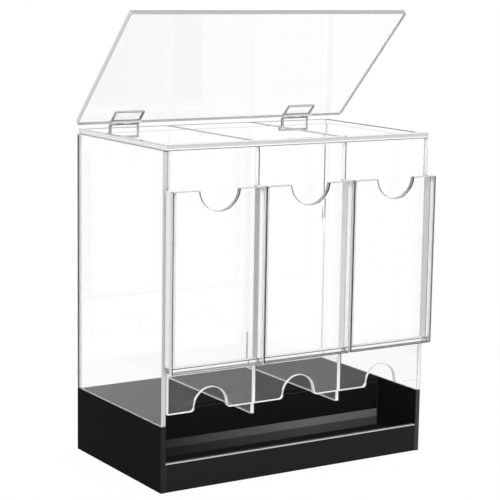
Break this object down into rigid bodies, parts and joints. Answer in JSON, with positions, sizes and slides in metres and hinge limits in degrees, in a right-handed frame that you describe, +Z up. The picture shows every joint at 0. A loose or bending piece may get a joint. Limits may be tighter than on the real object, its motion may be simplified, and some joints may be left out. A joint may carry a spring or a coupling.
{
  "type": "booster pack dispenser",
  "caption": "Clear box with side-by-side pack columns over a finger trough, display pockets on its front, a hinged lid on top and a black foot",
  "frame": {"origin": "middle of the foot's underside, between the outer faces of its sides, front and back, on the surface that it stands on", "axes": "+X to the right seen from the front, +Y from the front towards the hinged back, +Z up; the lid is stored standing open at 45 degrees"},
  "size_m": [0.246, 0.1489, 0.3482],
  "materials": {
    "clear_acrylic": "clear sheet with polished edges",
    "black_acrylic": "gloss black sheet",
    "clear_hinge_plastic": "clear moulded plastic",
    "pin_steel": "bright drawn wire"
  },
  "bodies": {
    "box": {"foot_left_side": "black_acrylic", "foot_right_side": "black_acrylic", "foot_back": "black_acrylic", "foot_front_lip": "black_acrylic", "foot_bottom": "black_acrylic", "trough_floor": "black_acrylic", "trough_back_wall": "black_acrylic", "pack_floor": "black_acrylic", "left_side_panel": "clear_acrylic", "right_side_panel": "clear_acrylic", "back_panel": "clear_acrylic", "front_panel": "clear_acrylic", "top_frame": "clear_acrylic", "left_divider": "clear_acrylic", "right_divider": "clear_acrylic", "left_pocket_face": "clear_acrylic", "left_pocket_left_strip": "clear_acrylic", "left_pocket_right_strip": "clear_acrylic", "left_pocket_bottom_strip": "clear_acrylic", "middle_pocket_face": "clear_acrylic", "middle_pocket_left_strip": "clear_acrylic", "middle_pocket_right_strip": "clear_acrylic", "middle_pocket_bottom_strip": "clear_acrylic", "right_pocket_face": "clear_acrylic", "right_pocket_left_strip": "clear_acrylic", "right_pocket_right_strip": "clear_acrylic", "right_pocket_bottom_strip": "clear_acrylic", "left_hinge_body_leaf": "clear_hinge_plastic", "left_hinge_pin": "pin_steel", "right_hinge_body_leaf": "clear_hinge_plastic", "right_hinge_pin": "pin_steel"},
    "lid": {"lid_sheet": "clear_acrylic", "left_hinge_lid_leaf": "clear_hinge_plastic", "right_hinge_lid_leaf": "clear_hinge_plastic"}
  },
  "joints": [
    {"name": "lid_hinge", "type": "hinge", "parent": "box", "child": "lid", "pos_m": [0, 0.0632, 0.26], "axis": [-1, 0, 0], "range_deg": [-45, 135]}
  ]
}
